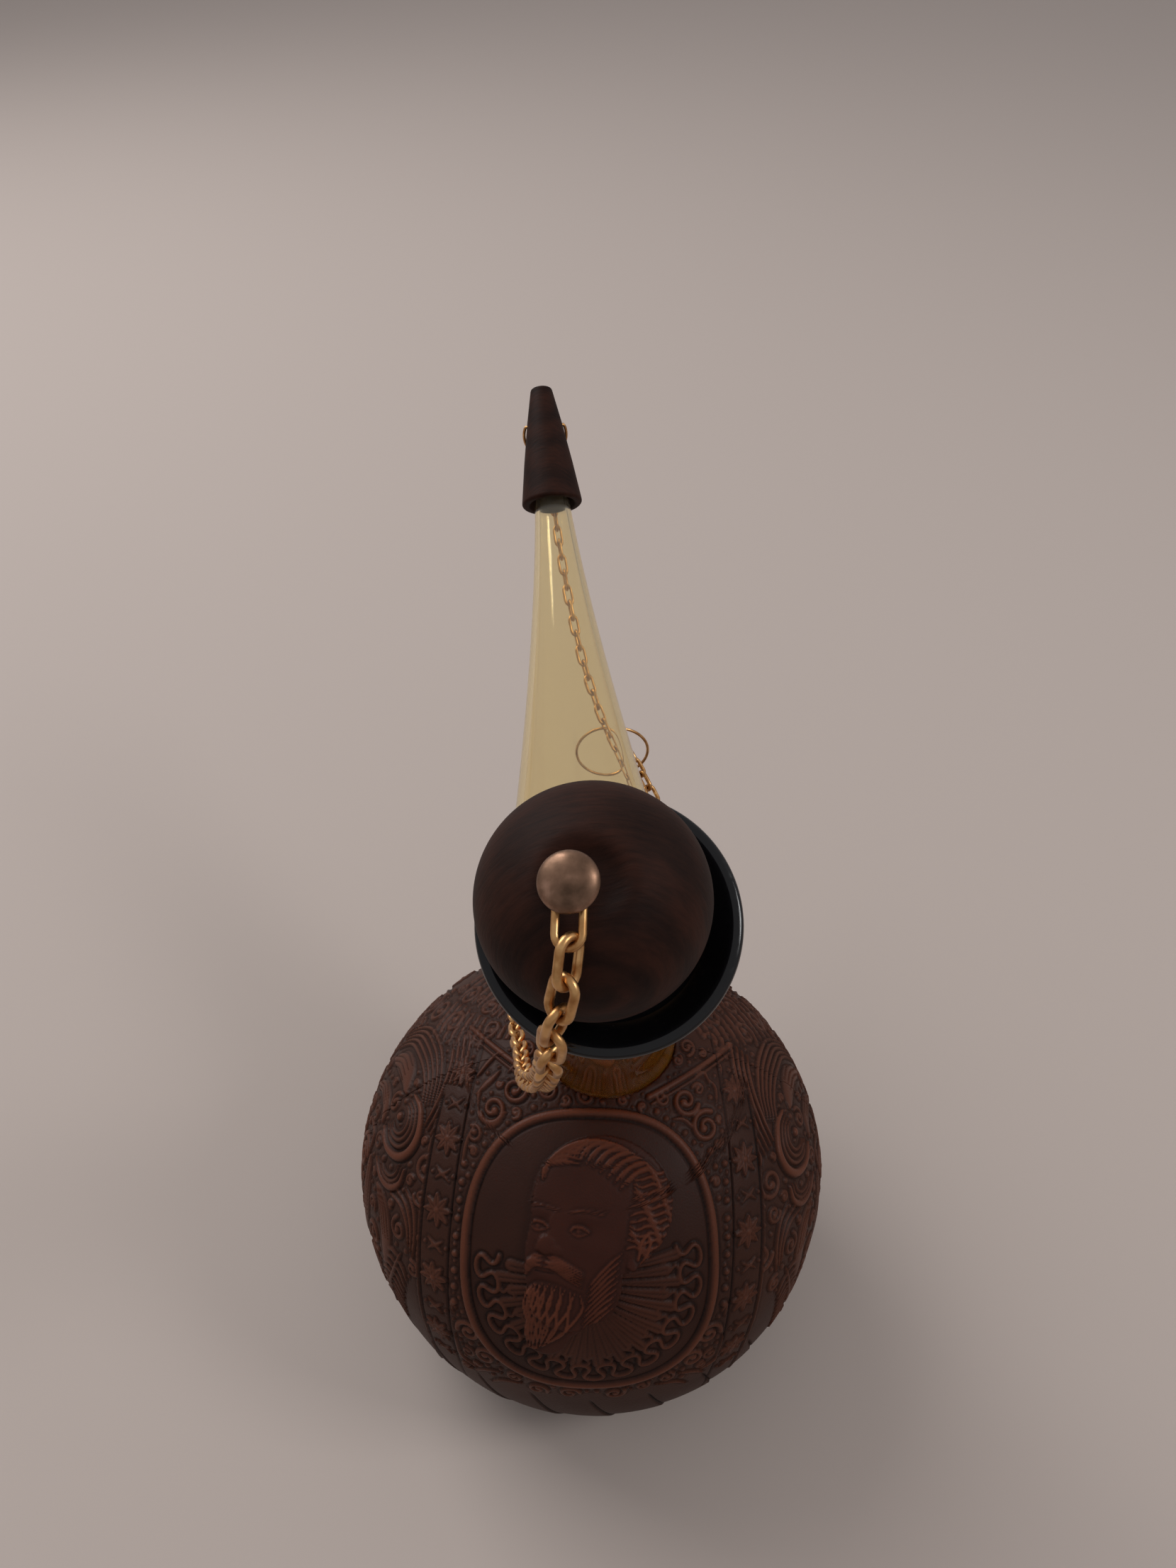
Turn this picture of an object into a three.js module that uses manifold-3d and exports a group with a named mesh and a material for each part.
// A porron: a round amber glass vessel in a tooled leather cover, with a leaning filling neck closed by a
// wooden ball on a cork, a long drinking spout closed by a wooden cap, and one chain that ties both to it.
// Millimetres, +Z up. The origin is the middle of the foot's underside, the spout points to +Y and the
// neck leans to -Y.
import * as THREE from "three";
import { mergeVertices } from "three/addons/utils/BufferGeometryUtils.js";
import Module from "manifold-3d";

const wasm = await Module();
wasm.setup();

// The round body, measured over the leather.
const BODY_RADIUS = 70;
const WIDEST_LEVEL = 58;
const BODY_RISE = 61;
const BODY_DROP = 64;
const DROP_FULLNESS = 2.5;
const LEATHER = 1.6;
const BULB_WALL = 2.4;
const BASE_HEIGHT = 6;
const SEAM_Y = -2;

// Clearances: between touching pieces, and round the glass where the leather is cut for it.
const GAP = 0.3;
const CUT_GAP = 0.4;

// The filling neck, along its own axis from the crown of the body.
const NECK_X = 4.6;
const NECK_Y = 1;
const NECK_TILT = 30.6;
const NECK_LEAN = 2.1;
const NECK_LENGTH = 167.3;
const NECK_RADIUS = 15;
const NECK_WALL = 2.6;
const NECK_FLARE = 4.2;
const NECK_FLARE_REACH = 16;

// The black collar at the mouth.
const COLLAR_LENGTH = 22;
const COLLAR_WALL = 1.1;
const COLLAR_PLAY = 0.5;
const RIM_RADIUS = 19.4;
const RIM_LIP = 0.9;
const SEAT_RADIUS = 17.5;
const SEAT_FOOT_RADIUS = 13.6;
const SEAT_DEPTH = 4.6;
const COLLAR_FLOOR = 2.2;
const MOUTH_BORE = 11.8;

// The stopper: a wooden ball that sits a little to one side on its cork, pinned with a domed nail.
const BALL_RADIUS = 16.4;
const BALL_LEFT = 2.1;
const BALL_BACK = 1.4;
const DIMPLE_RADIUS = 6.4;
const DIMPLE_DEPTH = 1.1;
const DIMPLE_TILT = 2.2;
const DIMPLE_LEAN = 3.1;
const CORK_LENGTH = 26;
const CORK_TAPER = 1.6;
const CORK_EDGE = 0.6;
const NAIL_TILT = 4.2;
const NAIL_LEAN = 9.2;
const NAIL_SHANK = 0.85;
const NAIL_DEPTH = 13;
const NAIL_HEAD_RADIUS = 4;
const NAIL_HEAD_HEIGHT = 2.2;
const NAIL_HEAD_EDGE = 0.4;
const NAIL_POINT = 2;

// The drinking spout, along its own axis from the body's shoulder.
const SPOUT_X = 4.2;
const SPOUT_Y = 45.5;
const SPOUT_TILT = 48.9;
const SPOUT_LEAN = 2.8;
const SPOUT_LENGTH = 159.4;
const SPOUT_ROOT_RADIUS = 31;
const SPOUT_TIP_RADIUS = 4.9;
const SPOUT_CURVE = 1.45;
const SPOUT_ROOT_WALL = 2.6;
const SPOUT_TIP_WALL = 1.5;

// The wooden cap over the spout's tip, and its bail.
const CAP_LENGTH = 40;
const CAP_COVER = 15.4;
const CAP_BASE_RADIUS = 9.9;
const CAP_TIP_RADIUS = 3.6;
const CAP_LIP = 1.2;
const CAP_MOUTH_RADIUS = 7.6;
const CAP_MOUTH_DEPTH = 3;
const BAIL_LEVEL = 27.4;
const BAIL_HALF_WIDTH = 7.05;
const BAIL_HALF_HEIGHT = 8.5;
const BAIL_WIRE = 0.5;
const BAIL_SWING = 9.5;

// The chain of oval links, and the loose ring on it.
const LINK_LENGTH = 7.2;
const LINK_WIDTH = 4.6;
const WIRE = 0.575;
const LINK_BITE = 0.3;
const NAIL_LINK_LENGTH = 10.8;
const RING_RADIUS = 12.3;
const RING_WIRE = 0.5;
const RING_SWING = 8;

const DEGREE = Math.PI / 180;

// How many flat sides stand for a round: the body, turned pieces, the nail, drilled holes and bent wire.
const BODY_SEGMENTS = 30;
const TURNED_SEGMENTS = 24;
const NAIL_SEGMENTS = 16;
const HOLE_SEGMENTS = 12;
const WIRE_SIDES = 5;
const RING_SEGMENTS = 22;
const BAIL_SEGMENTS = 18;

const GLASS_AMBER = new THREE.MeshStandardMaterial({ color: 0xb5801f, roughness: 0.08, metalness: 0 });
const COLLAR_BLACK = new THREE.MeshStandardMaterial({ color: 0x0b0a0a, roughness: 0.15, metalness: 0 });
const LEATHER_BROWN = new THREE.MeshStandardMaterial({ color: 0x5b4038, roughness: 0.6, metalness: 0 });
const WOOD_DARK = new THREE.MeshStandardMaterial({ color: 0x3f2a22, roughness: 0.65, metalness: 0 });
const CORK_TAN = new THREE.MeshStandardMaterial({ color: 0xa57c52, roughness: 0.9, metalness: 0 });
const NAIL_GREY = new THREE.MeshStandardMaterial({ color: 0x8d8074, roughness: 0.4, metalness: 0.9 });
const CHAIN_GOLD = new THREE.MeshStandardMaterial({ color: 0xc9953f, roughness: 0.25, metalness: 1 });

// Turns a closed geometry into a solid that can be joined and cut.
function solidOf(geometry) {
  const bare = geometry.index ? geometry.clone() : mergeVertices(geometry.clone());
  bare.deleteAttribute("normal");
  bare.deleteAttribute("uv");
  const merged = mergeVertices(bare, 1e-4);
  return new wasm.Manifold(
    new wasm.Mesh({
      numProp: 3,
      vertProperties: merged.attributes.position.array,
      triVerts: new Uint32Array(merged.index.array),
    }),
  );
}

// Turns a solid back into a geometry with flat faces.
function geometryOf(solid) {
  const mesh = solid.getMesh();
  const geometry = new THREE.BufferGeometry();
  geometry.setAttribute("position", new THREE.BufferAttribute(mesh.vertProperties, 3));
  geometry.setIndex(new THREE.BufferAttribute(mesh.triVerts, 1));
  const flat = geometry.toNonIndexed();
  flat.computeVertexNormals();
  return flat;
}

function meshOf(name, solid, material) {
  const mesh = new THREE.Mesh(geometryOf(solid), material);
  mesh.name = name;
  return mesh;
}

// Revolves an outline of [radius, height] points, listed from the bottom up on the outside, about +Z.
function revolved(outline, segments) {
  const points = outline.map(([radius, height]) => new THREE.Vector2(radius, height));
  return solidOf(new THREE.LatheGeometry(points, segments).rotateX(Math.PI / 2));
}

// The same solid seen from the world's frame, where it was made in a group's own frame.
function placed(solid, group) {
  group.updateWorldMatrix(true, false);
  return solid.transform(group.matrixWorld.elements);
}

function block(sizeX, sizeY, sizeZ, x, y, z) {
  return solidOf(new THREE.BoxGeometry(sizeX, sizeY, sizeZ).translate(x, y, z));
}

// Samples a function of one value at even steps from one end to the other, both ends included.
function sampled(from, to, steps, point) {
  return Array.from({ length: steps + 1 }, (_, i) => point(from + ((to - from) * i) / steps));
}

// A closed loop of wire about a flat outline of [x, y] points that runs counter-clockwise. One edge of the
// wire's section faces the middle of the loop, where the next link bears on it.
function wireLoop(outline, wireRadius, sides) {
  const positions = [];
  const index = [];
  const count = outline.length;
  outline.forEach(([x, y], i) => {
    const [beforeX, beforeY] = outline[(i + count - 1) % count];
    const [afterX, afterY] = outline[(i + 1) % count];
    const along = new THREE.Vector2(afterX - beforeX, afterY - beforeY).normalize();
    for (let side = 0; side < sides; side += 1) {
      const turn = Math.PI + (2 * Math.PI * side) / sides;
      const out = wireRadius * Math.cos(turn);
      positions.push(x + out * along.y, y - out * along.x, wireRadius * Math.sin(turn));
      const here = i * sides;
      const next = ((i + 1) % count) * sides;
      const other = (side + 1) % sides;
      index.push(here + side, next + side, next + other, here + side, next + other, here + other);
    }
  });
  const geometry = new THREE.BufferGeometry();
  geometry.setAttribute("position", new THREE.Float32BufferAttribute(positions, 3));
  geometry.setIndex(index);
  return geometry;
}

// Half the body's width at a height over the foot: an ellipse above the widest level and a fuller,
// flatter curve below it. The inset is the depth under the leather's outside.
function bodyRadiusAt(height, inset) {
  const span = height > WIDEST_LEVEL ? BODY_RISE : BODY_DROP;
  const fullness = height > WIDEST_LEVEL ? 2 : DROP_FULLNESS;
  const share = Math.min(1, Math.abs(height - WIDEST_LEVEL) / (span - inset));
  return (BODY_RADIUS - inset) * (1 - share ** fullness) ** (1 / fullness);
}

// The height of the body's outside at a distance from its axis, above the widest level.
function shoulderHeight(distance) {
  return WIDEST_LEVEL + BODY_RISE * Math.sqrt(1 - (distance / BODY_RADIUS) ** 2);
}

// The body at an inset, standing on a flat foot at that same height.
function bodySolid(inset) {
  const lower = sampled(0, 1, 6, (u) => {
    const height = inset + (WIDEST_LEVEL - inset) * Math.sin((u * Math.PI) / 2);
    return [bodyRadiusAt(height, inset), height];
  });
  const upper = sampled(1 / 7, 1, 6, (u) => {
    const height = WIDEST_LEVEL + (BODY_RISE - inset) * Math.sin((u * Math.PI) / 2);
    return [u === 1 ? 0 : bodyRadiusAt(height, inset), height];
  });
  return revolved([[0, inset], ...lower, ...upper], BODY_SEGMENTS);
}

function neckRadiusAt(along) {
  return NECK_RADIUS + NECK_FLARE * Math.exp(-Math.max(along, 0) / NECK_FLARE_REACH);
}

function spoutRadiusAt(along) {
  const left = 1 - along / SPOUT_LENGTH;
  return SPOUT_TIP_RADIUS + (SPOUT_ROOT_RADIUS - SPOUT_TIP_RADIUS) * left ** SPOUT_CURVE;
}

function spoutWallAt(along) {
  return SPOUT_ROOT_WALL + ((SPOUT_TIP_WALL - SPOUT_ROOT_WALL) * Math.max(along, 0)) / SPOUT_LENGTH;
}

// A round rod whose radius follows a function of the distance along its axis, at the stations given.
function taperedRod(stations, radiusAt, segments) {
  const last = stations[stations.length - 1];
  return revolved([[0, stations[0]], ...stations.map((z) => [radiusAt(z), z]), [0, last]], segments);
}

// The axes of the neck and the spout. Each leans from +Z by a turn about X, and a little to the left.
const porron = new THREE.Group();
const neck = new THREE.Group();
neck.position.set(NECK_X, NECK_Y, shoulderHeight(Math.hypot(NECK_X, NECK_Y)));
neck.rotation.set(NECK_TILT * DEGREE, -NECK_LEAN * DEGREE, 0);
const spout = new THREE.Group();
spout.position.set(SPOUT_X, SPOUT_Y, shoulderHeight(Math.hypot(SPOUT_X, SPOUT_Y)));
spout.rotation.set(-SPOUT_TILT * DEGREE, -SPOUT_LEAN * DEGREE, 0);
porron.add(neck, spout);

// How far the neck and the spout reach down into the body from their roots, and the stations along them.
// The neck's stations crowd at its flared root.
const NECK_REACH = 26;
const SPOUT_REACH = 16;
const GLASS_TOP = NECK_LENGTH - SEAT_DEPTH - COLLAR_FLOOR - GAP;
const PAST_END = 4;
const neckStations = [-NECK_REACH, ...sampled(0, 1, 6, (u) => GLASS_TOP * u ** 2.4)];
const spoutStations = [-SPOUT_REACH, ...sampled(0, SPOUT_LENGTH, 9, (z) => z)];
const NECK_SEGMENTS = 18;
const SPOUT_SEGMENTS = 20;

function neckRod(offset, stations) {
  return placed(taperedRod(stations, (z) => neckRadiusAt(z) + offset, NECK_SEGMENTS), neck);
}

function spoutRod(offsetAt) {
  return placed(taperedRod(spoutStations, (z) => spoutRadiusAt(z) + offsetAt(z), SPOUT_SEGMENTS), spout);
}

// The largest piece of a solid that a cut has left in several.
function largestPiece(solid) {
  return solid.decompose().reduce((most, piece) => (piece.volume() > most.volume() ? piece : most));
}

function neckBore() {
  return neckRod(-NECK_WALL, [...neckStations, GLASS_TOP + PAST_END]);
}

function spoutBore() {
  const tipStations = [SPOUT_LENGTH - PAST_END, SPOUT_LENGTH + PAST_END];
  const tipBore = taperedRod(tipStations, () => SPOUT_TIP_RADIUS - SPOUT_TIP_WALL, SPOUT_SEGMENTS);
  return spoutRod((z) => -spoutWallAt(z)).add(placed(tipBore, spout));
}

// The glass is blown in one piece. Here the bulb is a bowl and a shoulder that meet at the widest level,
// and the neck and the spout stand on the shoulder, all a gap apart, so that each is a simple hollow form
// that is open into the next. Side is -1 for the bowl and 1 for the shoulder.
function glassBulb(side) {
  const shell = bodySolid(LEATHER + GAP).subtract(bodySolid(LEATHER + GAP + BULB_WALL));
  const wide = 4 * BODY_RADIUS;
  const half = block(wide, wide, wide, 0, 0, WIDEST_LEVEL + side * (wide / 2 + GAP / 2));
  return largestPiece(shell.subtract(neckBore()).subtract(spoutBore()).intersect(half));
}

function glassNeck() {
  const wall = neckRod(0, neckStations).subtract(neckBore());
  return largestPiece(wall.subtract(bodySolid(LEATHER)).subtract(spoutBore()));
}

function glassSpout() {
  const wall = spoutRod(() => 0).subtract(spoutBore());
  return largestPiece(wall.subtract(bodySolid(LEATHER)).subtract(neckRod(GAP, neckStations)));
}

// The leather cover: a shell over the bulb, cut away round the neck and the spout.
function leatherShell() {
  const shell = bodySolid(0).subtract(bodySolid(LEATHER));
  return shell.subtract(neckRod(CUT_GAP, neckStations)).subtract(spoutRod(() => CUT_GAP));
}

// The part of the cover in front of the seam or behind it, above the base.
function leatherPanel(shell, side) {
  const wide = 4 * BODY_RADIUS;
  const level = BASE_HEIGHT + GAP + wide / 2;
  return largestPiece(
    shell.intersect(block(wide, wide, wide, 0, SEAM_Y + side * (wide / 2 + GAP / 2), level)),
  );
}

function leatherBase(shell) {
  const wide = 4 * BODY_RADIUS;
  return shell.intersect(block(wide, wide, 2 * BASE_HEIGHT, 0, 0, 0));
}

// The collar: a sleeve over the end of the glass that flares to the rim, a floor on the glass's end,
// and the sloping seat that the ball lies in.
function mouthCollar() {
  const sleeve = NECK_RADIUS + COLLAR_PLAY;
  const foot = NECK_LENGTH - COLLAR_LENGTH;
  const floor = GLASS_TOP + GAP;
  const outline = [
    [sleeve, floor],
    [sleeve, foot],
    [sleeve + COLLAR_WALL, foot],
    [sleeve + COLLAR_WALL * 1.4, foot + COLLAR_LENGTH * 0.35],
    [sleeve + COLLAR_WALL * 2.1, foot + COLLAR_LENGTH * 0.65],
    [RIM_RADIUS - 0.15, NECK_LENGTH - 2 * RIM_LIP],
    [RIM_RADIUS, NECK_LENGTH - RIM_LIP],
    [RIM_RADIUS - RIM_LIP * 0.3, NECK_LENGTH - RIM_LIP * 0.3],
    [RIM_RADIUS - RIM_LIP, NECK_LENGTH],
    [SEAT_RADIUS, NECK_LENGTH],
    [SEAT_FOOT_RADIUS, NECK_LENGTH - SEAT_DEPTH],
    [MOUTH_BORE, NECK_LENGTH - SEAT_DEPTH],
    [MOUTH_BORE, floor],
    [sleeve, floor],
  ];
  return revolved(outline, TURNED_SEGMENTS);
}

// The stopper's own group stands on the neck's axis at the seat's foot.
const stopper = new THREE.Group();
stopper.position.set(0, 0, NECK_LENGTH - SEAT_DEPTH);
neck.add(stopper);

// The ball's centre: its flat underside rests just over the cork, which is level with the seat's foot.
const BALL_FLAT = 12.4;
const ballPlace = new THREE.Vector3(-BALL_LEFT, BALL_BACK, BALL_FLAT + GAP);

// A frame at the ball's centre whose Z leaves the ball through the dimple or the nail.
function ballFrame(tilt, lean) {
  const frame = new THREE.Group();
  frame.position.copy(ballPlace);
  frame.rotation.set(tilt * DEGREE, -lean * DEGREE, 0);
  return frame;
}

const dimpleFrame = ballFrame(DIMPLE_TILT, DIMPLE_LEAN);
const nailFrame = ballFrame(NAIL_TILT, NAIL_LEAN);

// The same solid in the stopper's frame, where it was made in one of the ball's frames.
function inStopper(solid, frame) {
  frame.updateMatrix();
  return solid.transform(frame.matrix.elements);
}

const DIMPLE_FLOOR = Math.sqrt(BALL_RADIUS ** 2 - DIMPLE_RADIUS ** 2) - DIMPLE_DEPTH;
const NAIL_SEAT = BALL_RADIUS - 0.15;
const LINK_LEVEL = NAIL_SEAT + GAP + WIRE;
const HEAD_LEVEL = LINK_LEVEL + WIRE + GAP;

function stopperBall() {
  const edge = Math.acos(DIMPLE_RADIUS / BALL_RADIUS);
  const round = sampled(-Math.PI / 2, edge, 10, (angle) => [
    BALL_RADIUS * Math.cos(angle),
    BALL_RADIUS * Math.sin(angle),
  ]);
  round[0] = [0, -BALL_RADIUS];
  const dimple = [
    [DIMPLE_RADIUS * 0.6, DIMPLE_FLOOR + DIMPLE_DEPTH * 0.3],
    [0, DIMPLE_FLOOR],
  ];
  const ball = inStopper(revolved([...round, ...dimple], TURNED_SEGMENTS), dimpleFrame);
  const below = block(4 * BALL_RADIUS, 4 * BALL_RADIUS, 2 * BALL_RADIUS, 0, 0, GAP - BALL_RADIUS);
  const hole = taperedRod([BALL_RADIUS - NAIL_DEPTH - GAP, BALL_RADIUS * 2], () => NAIL_SHANK + GAP, HOLE_SEGMENTS);
  return ball.subtract(below).subtract(inStopper(hole, nailFrame));
}

function stopperCork() {
  const top = MOUTH_BORE - GAP;
  return revolved(
    [
      [0, -CORK_LENGTH],
      [top - CORK_TAPER - CORK_EDGE, -CORK_LENGTH],
      [top - CORK_TAPER, CORK_EDGE - CORK_LENGTH],
      [top, 0],
      [0, 0],
    ],
    TURNED_SEGMENTS,
  );
}

function stopperNail() {
  const dome = sampled(0, Math.PI / 2, 5, (angle) => [
    NAIL_HEAD_RADIUS * Math.cos(angle),
    HEAD_LEVEL + NAIL_HEAD_EDGE + (NAIL_HEAD_HEIGHT - NAIL_HEAD_EDGE) * Math.sin(angle),
  ]);
  dome[5][0] = 0;
  const point = BALL_RADIUS - NAIL_DEPTH;
  const shank = [
    [0, point],
    [NAIL_SHANK, point + NAIL_POINT],
    [NAIL_SHANK, HEAD_LEVEL],
  ];
  return revolved([...shank, [NAIL_HEAD_RADIUS, HEAD_LEVEL], ...dome], NAIL_SEGMENTS);
}

// One oval link in its own frame: it runs along X, lies in the XY plane and has flat ends, so that the
// wire of the next link bears on them. Its outline is a long octagon along the middle of the wire.
const LINK_END = LINK_LENGTH / 2 - WIRE;
const LINK_SIDE = LINK_WIDTH / 2 - WIRE;
const LINK_SIDES = 4;

function linkGeometry(length) {
  const end = length / 2 - WIRE;
  const nose = LINK_SIDE * 0.42;
  const shoulder = end - LINK_SIDE * 0.68;
  const outline = [
    [end, -nose],
    [end, nose],
    [shoulder, LINK_SIDE],
    [-shoulder, LINK_SIDE],
    [-end, nose],
    [-end, -nose],
    [-shoulder, -LINK_SIDE],
    [shoulder, -LINK_SIDE],
  ];
  return wireLoop(outline, WIRE, LINK_SIDES);
}

// The chain's route, chosen by hand: over the ball's front, past the rim, down to the neck's root, round
// behind it, over the spout's right flank and up under the spout to the cap's bail.
const CHAIN_ROUTE = [
  [-7.6, -102.5, 280.2],
  [-8.2, -104.8, 276.6],
  [-9.2, -106, 272.2],
  [-10, -105.8, 268],
  [-10.6, -104.8, 261.5],
  [-11, -101.8, 254.4],
  [-11.6, -94.8, 241.8],
  [-12.4, -82, 221],
  [-13.4, -70, 202.6],
  [-15.4, -58, 185.6],
  [-17, -46, 170.6],
  [-17.8, -34, 157.6],
  [-18.6, -22, 146.4],
  [-19.8, -11, 138],
  [-20, 0, 132.6],
  [-16.6, 9.6, 130.2],
  [-9, 17, 129.4],
  [1, 21.4, 129.6],
  [11, 23.4, 128.9],
  [21, 25.6, 126.3],
  [30.4, 29.6, 120.1],
  [37.4, 36.6, 112.4],
  [39.6, 46, 106.6],
  [39, 57, 105.2],
  [36.4, 69, 108.2],
  [32, 81.6, 114.4],
  [26.8, 93, 122],
  [21, 103.2, 129.6],
  [14.6, 112, 137.2],
  [9.8, 121, 145.6],
  [6, 131, 155],
  [3, 141.4, 166],
  [0.6, 152.4, 177.8],
  [-1.6, 163.2, 190],
  [-3.5, 172.4, 200.4],
  [-4.2, 176.6, 204.8],
];
const route = new THREE.CatmullRomCurve3(CHAIN_ROUTE.map((point) => new THREE.Vector3(...point)));
route.arcLengthDivisions = 2000;

// Neighbouring links bite into each other a little, so that a stretch is one piece of chain. Where two
// stretches meet they lie closer, which leaves them free of each other.
const BITING_PITCH = LINK_LENGTH - 4 * WIRE + LINK_BITE;
const FREE_PITCH = LINK_LENGTH - 4 * WIRE - GAP;
const FRONT_SHARE = 0.385;
const SADDLE_SHARE = 0.19;
const TAIL_LINKS = 6;

// Splits the chain into its stretches. Each has the number and the middle of its first link, its count of
// links and its pitch. The last link ends round the bail's wire at the end of the route, and stands as
// the first one does, so the links are odd in number.
function chainPlan() {
  const begin = BITING_PITCH / 2;
  const end = route.getLength() - (LINK_END - WIRE - BAIL_WIRE - GAP);
  const free = 3 * FREE_PITCH;
  const joints = 2 * Math.round(((end - begin - free) / BITING_PITCH - 1) / 2) + 1;
  const pitch = (end - begin - free) / joints;
  const links = joints + 4;
  const frontLinks = Math.round(FRONT_SHARE * links);
  const saddleLinks = Math.round(SADDLE_SHARE * links);
  const counts = [frontLinks, saddleLinks, links - frontLinks - saddleLinks - TAIL_LINKS, TAIL_LINKS];
  let number = 0;
  let middle = begin;
  return counts.map((count) => {
    const stretch = { number, middle, count, pitch };
    number += count;
    middle += (count - 1) * pitch + FREE_PITCH;
    return stretch;
  });
}

// A point on the route, or on its straight run past either end.
function routePoint(distance) {
  const total = route.getLength();
  const held = Math.min(total, Math.max(0, distance)) / total;
  return route.getPointAt(held).addScaledVector(route.getTangentAt(held), distance - held * total);
}

// Places a link with its middle at a distance along the route. Roll turns it about the chain, away from
// lying in one plane with the reference direction.
function linkAt(distance, reference, roll) {
  const start = routePoint(distance - BITING_PITCH / 2);
  const end = routePoint(distance + BITING_PITCH / 2);
  const along = end.clone().sub(start).normalize();
  const side = reference.clone().addScaledVector(along, -reference.dot(along)).normalize();
  const up = along.clone().cross(side);
  const turned = side.multiplyScalar(Math.cos(roll)).addScaledVector(up, Math.sin(roll));
  const matrix = new THREE.Matrix4().makeBasis(along, turned, along.clone().cross(turned));
  return matrix.setPosition(start.add(end).multiplyScalar(0.5));
}

// A stretch of chain as one solid, its links a quarter turn apart but for the roll that each is given.
function chainStretch({ number, middle, count, pitch }, reference, rollAt) {
  const link = linkGeometry(LINK_LENGTH);
  const links = Array.from({ length: count }, (_, i) => {
    const quarter = ((number + i) % 2) * (Math.PI / 2);
    const matrix = linkAt(middle + i * pitch, reference, rollAt(i) + quarter);
    return solidOf(link.clone().applyMatrix4(matrix));
  });
  return wasm.Manifold.union(links);
}

// A ring of wire that hangs from a point in its own frame: its wire passes through the origin, along X.
function ringSolid(radius, wireRadius, segments) {
  const outline = sampled(0, 2 * Math.PI, segments, (angle) => [
    radius * Math.cos(angle),
    radius * Math.sin(angle) - radius,
  ]);
  return solidOf(wireLoop(outline.slice(0, segments), wireRadius, WIRE_SIDES).rotateX(Math.PI / 2));
}

// The cap's own group: its origin is the middle of the base, and Z runs to the tip.
const capGroup = new THREE.Group();
capGroup.position.set(0, 0, SPOUT_LENGTH - CAP_COVER);
spout.add(capGroup);

function capSolid() {
  const seat = (z) => spoutRadiusAt(SPOUT_LENGTH - CAP_COVER + z) + CUT_GAP;
  const slope = (CAP_TIP_RADIUS - CAP_BASE_RADIUS) / CAP_LENGTH;
  const outline = [
    [0, CAP_COVER + GAP],
    [seat(CAP_COVER), CAP_COVER + GAP],
    [seat(CAP_COVER / 2), CAP_COVER / 2],
    [seat(CAP_MOUTH_DEPTH), CAP_MOUTH_DEPTH],
    [CAP_MOUTH_RADIUS, 0],
    [CAP_BASE_RADIUS - CAP_LIP / 2, 0],
    [CAP_BASE_RADIUS, CAP_LIP / 2],
    [CAP_BASE_RADIUS - CAP_LIP * 0.1, CAP_LIP * 1.4],
    [CAP_BASE_RADIUS + slope * CAP_LENGTH * 0.35 + 0.35, CAP_LENGTH * 0.35],
    [CAP_BASE_RADIUS + slope * CAP_LENGTH * 0.7 + 0.3, CAP_LENGTH * 0.7],
    [CAP_TIP_RADIUS, CAP_LENGTH - CAP_LIP / 3],
    [CAP_TIP_RADIUS - CAP_LIP / 3, CAP_LENGTH],
    [0, CAP_LENGTH],
  ];
  const across = 4 * CAP_BASE_RADIUS;
  const drill = new THREE.CylinderGeometry(BAIL_WIRE + GAP, BAIL_WIRE + GAP, across, HOLE_SEGMENTS);
  const hole = solidOf(drill.rotateZ(Math.PI / 2).translate(0, 0, BAIL_LEVEL));
  return revolved(outline, TURNED_SEGMENTS).subtract(hole);
}

// The cap's radius at a level over its base, along its straight taper.
function capRadiusAt(level) {
  return CAP_BASE_RADIUS + ((CAP_TIP_RADIUS - CAP_BASE_RADIUS) * level) / CAP_LENGTH;
}

// The bail: a straight bar through the cap's cross hole and an oval bow that hangs from its ends.
function bailSolid() {
  const barHalf = capRadiusAt(BAIL_LEVEL) + BAIL_WIRE + GAP;
  const start = Math.acos(Math.min(0.98, barHalf / BAIL_HALF_WIDTH));
  const drop = BAIL_HALF_HEIGHT * Math.sin(start);
  const outline = sampled(Math.PI - start, 2 * Math.PI + start, BAIL_SEGMENTS, (angle) => [
    BAIL_HALF_WIDTH * Math.cos(angle),
    BAIL_HALF_HEIGHT * Math.sin(angle) - drop,
  ]);
  return solidOf(wireLoop(outline, BAIL_WIRE, WIRE_SIDES).rotateX(Math.PI / 2));
}

// Builds the pieces that are fixed to the vessel.
const shell = leatherShell();
porron.add(
  meshOf("glass_bowl", glassBulb(-1), GLASS_AMBER),
  meshOf("glass_shoulder", glassBulb(1), GLASS_AMBER),
  meshOf("glass_neck", glassNeck(), GLASS_AMBER),
  meshOf("glass_spout", glassSpout(), GLASS_AMBER),
  meshOf("leather_front", leatherPanel(shell, -1), LEATHER_BROWN),
  meshOf("leather_back", leatherPanel(shell, 1), LEATHER_BROWN),
  meshOf("leather_base", leatherBase(shell), LEATHER_BROWN),
);
neck.add(meshOf("mouth_collar", mouthCollar(), COLLAR_BLACK));

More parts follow.
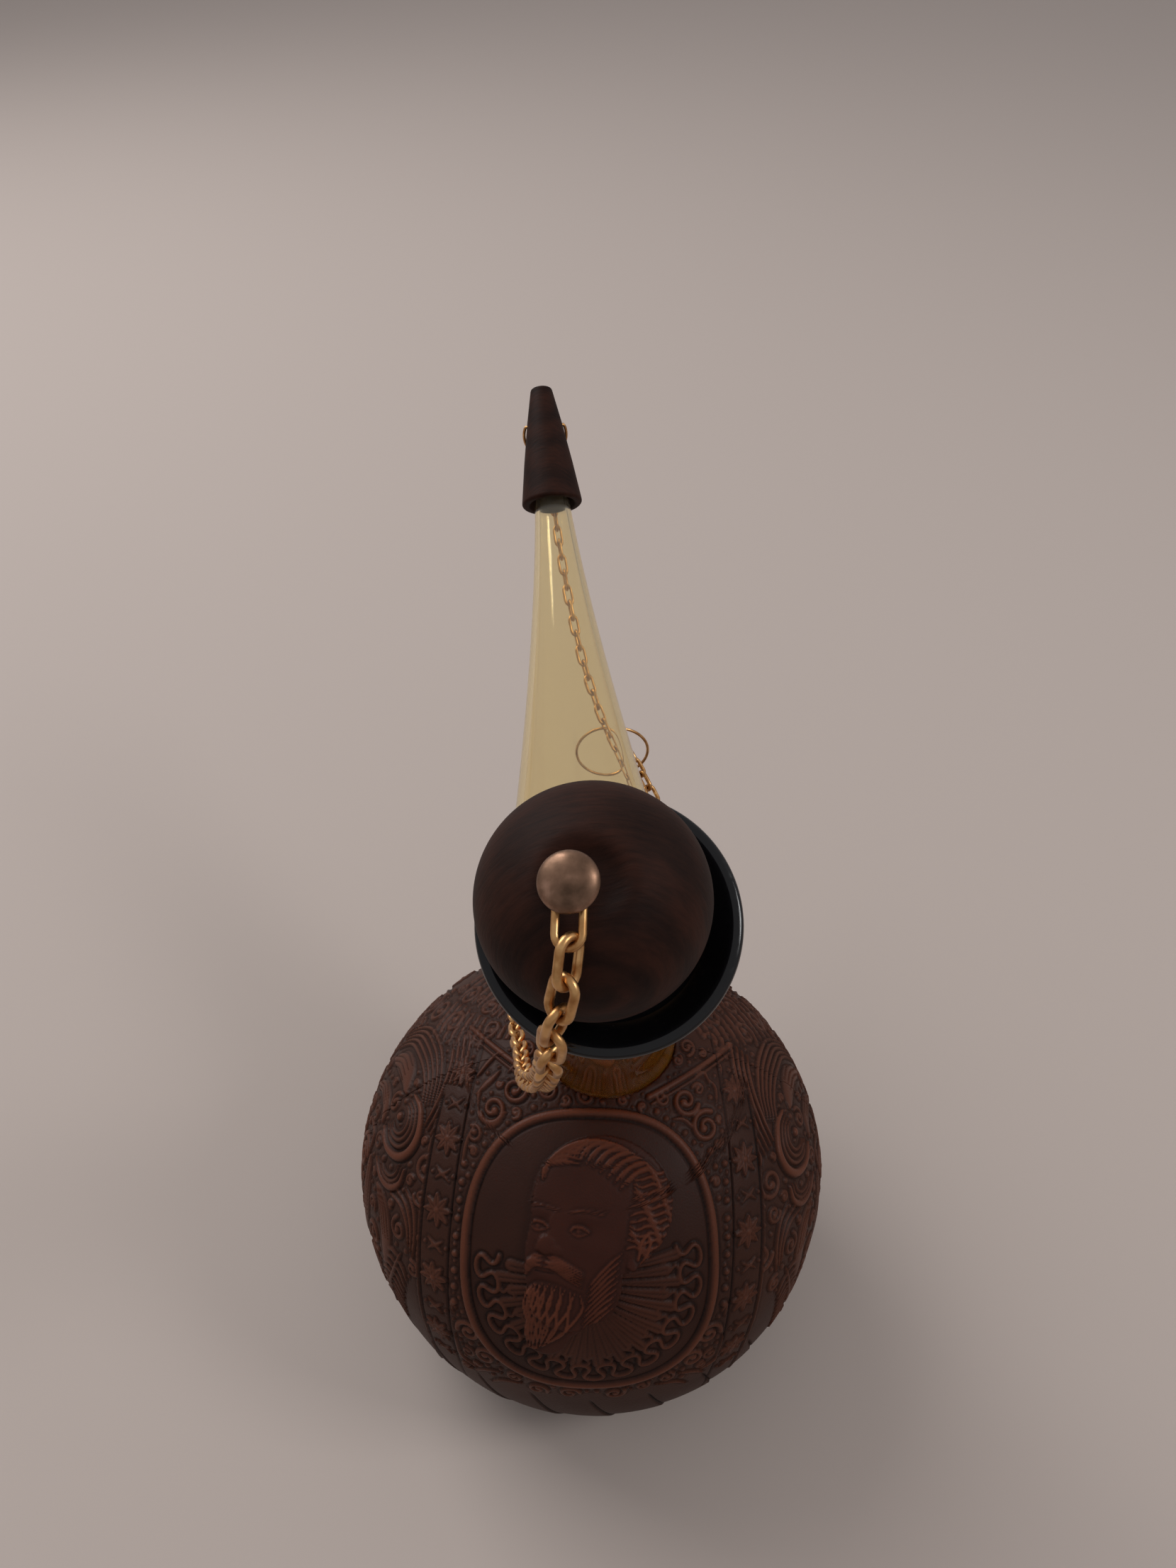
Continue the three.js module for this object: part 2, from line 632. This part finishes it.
// Builds the stopper, with the chain's first link round the nail.
stopper.add(
  meshOf("stopper_ball", stopperBall(), WOOD_DARK),
  meshOf("stopper_cork", stopperCork(), CORK_TAN),
  meshOf("stopper_nail", inStopper(stopperNail(), nailFrame), NAIL_GREY),
);
const NAIL_LINK_TURN = 95;
const nailLink = meshOf("nail_link", solidOf(linkGeometry(NAIL_LINK_LENGTH)), CHAIN_GOLD);
nailLink.position.x = NAIL_LINK_LENGTH / 2 - 2 * WIRE - NAIL_SHANK - GAP;
const nailLinkArm = new THREE.Group();
nailLinkArm.position.set(0, 0, LINK_LEVEL);
nailLinkArm.rotation.z = -NAIL_LINK_TURN * DEGREE;
nailLinkArm.add(nailLink);
nailFrame.add(nailLinkArm);
stopper.add(nailFrame);

// Builds the chain's four stretches. Links that lie on something lean to either side of it in turn. The
// first ones stand up from the nail's link, and those from the loose ring on stand and lie in turn.
const ACROSS = new THREE.Vector3(1, 0, 0);
const UPWARD = new THREE.Vector3(0, 0, 1);
const LEANING = Math.PI / 4;
const SETTLING_LINKS = 6;
const [front, saddle, back, tail] = chainPlan();
const RING_LINK = 17 + ((back.number + 1) % 2);
const settling = (i) => -LEANING * (1 + Math.max(0, 1 - i / SETTLING_LINKS));
const straightening = (i) => LEANING * Math.max(0, 1 - i / RING_LINK);
porron.add(
  meshOf("chain_front", chainStretch(front, ACROSS, settling), CHAIN_GOLD),
  meshOf("chain_saddle", chainStretch(saddle, UPWARD, () => LEANING), CHAIN_GOLD),
  meshOf("chain_back", chainStretch(back, UPWARD, straightening), CHAIN_GOLD),
  meshOf("chain_tail", chainStretch(tail, UPWARD, () => 0), CHAIN_GOLD),
);

// Hangs the loose ring through a standing link of the rear stretch.
const midRing = meshOf("mid_ring", ringSolid(RING_RADIUS, RING_WIRE, RING_SEGMENTS), CHAIN_GOLD);
midRing.position.copy(routePoint(back.middle + RING_LINK * back.pitch));
midRing.rotation.x = RING_SWING * DEGREE;
porron.add(midRing);

// Builds the cap with its bail, which hangs a little behind the vertical.
const cap = meshOf("cap", capSolid(), WOOD_DARK);
const bail = meshOf("cap_ring", bailSolid(), CHAIN_GOLD);
bail.position.set(0, 0, BAIL_LEVEL);
bail.rotation.x = (SPOUT_TILT + BAIL_SWING) * DEGREE;
capGroup.add(cap, bail);

export default porron;
